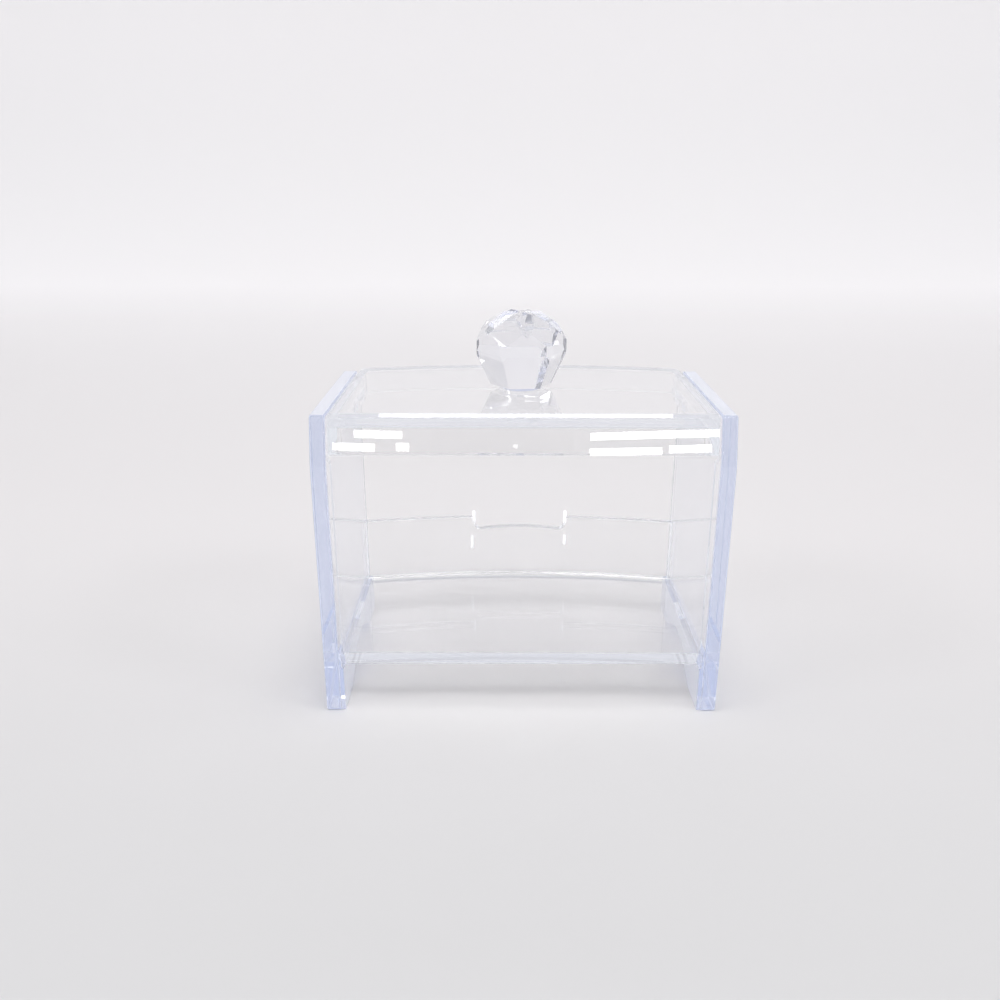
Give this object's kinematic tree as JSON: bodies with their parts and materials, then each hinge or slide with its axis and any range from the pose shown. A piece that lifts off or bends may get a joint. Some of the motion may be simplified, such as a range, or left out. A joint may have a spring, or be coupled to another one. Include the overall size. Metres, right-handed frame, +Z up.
{
  "type": "cotton swab dispenser",
  "caption": "Clear plastic swab box on two side plates, with a tall back wall, a low bowed front lip with a finger notch, and a lift-off lid with a faceted knob.",
  "frame": {"origin": "on the surface it stands on, under the middle of the overall box", "axes": "+Z up, +X along the width between the side plates, +Y towards the low bowed front lip, -Y towards the tall flat back wall"},
  "size_m": [0.095, 0.0596, 0.0925],
  "materials": {
    "side_plates": "polished, clear, pale blue at the edges",
    "box_panels": "polished, clear",
    "lid": "polished, clear",
    "knob": "polished facets, clear"
  },
  "bodies": {
    "base": {"left_side_plate": "side_plates", "right_side_plate": "side_plates", "back_wall": "box_panels", "floor_panel": "box_panels", "front_lip": "box_panels", "lid_rest_blocks": "box_panels"},
    "lid": {"lid_panel": "lid", "lid_rim": "lid", "lid_knob": "knob"}
  },
  "joints": [
    {"name": "lid_lift", "type": "slide", "parent": "base", "child": "lid", "axis": [0, 0, 1], "range_m": [0, 0.06]}
  ]
}
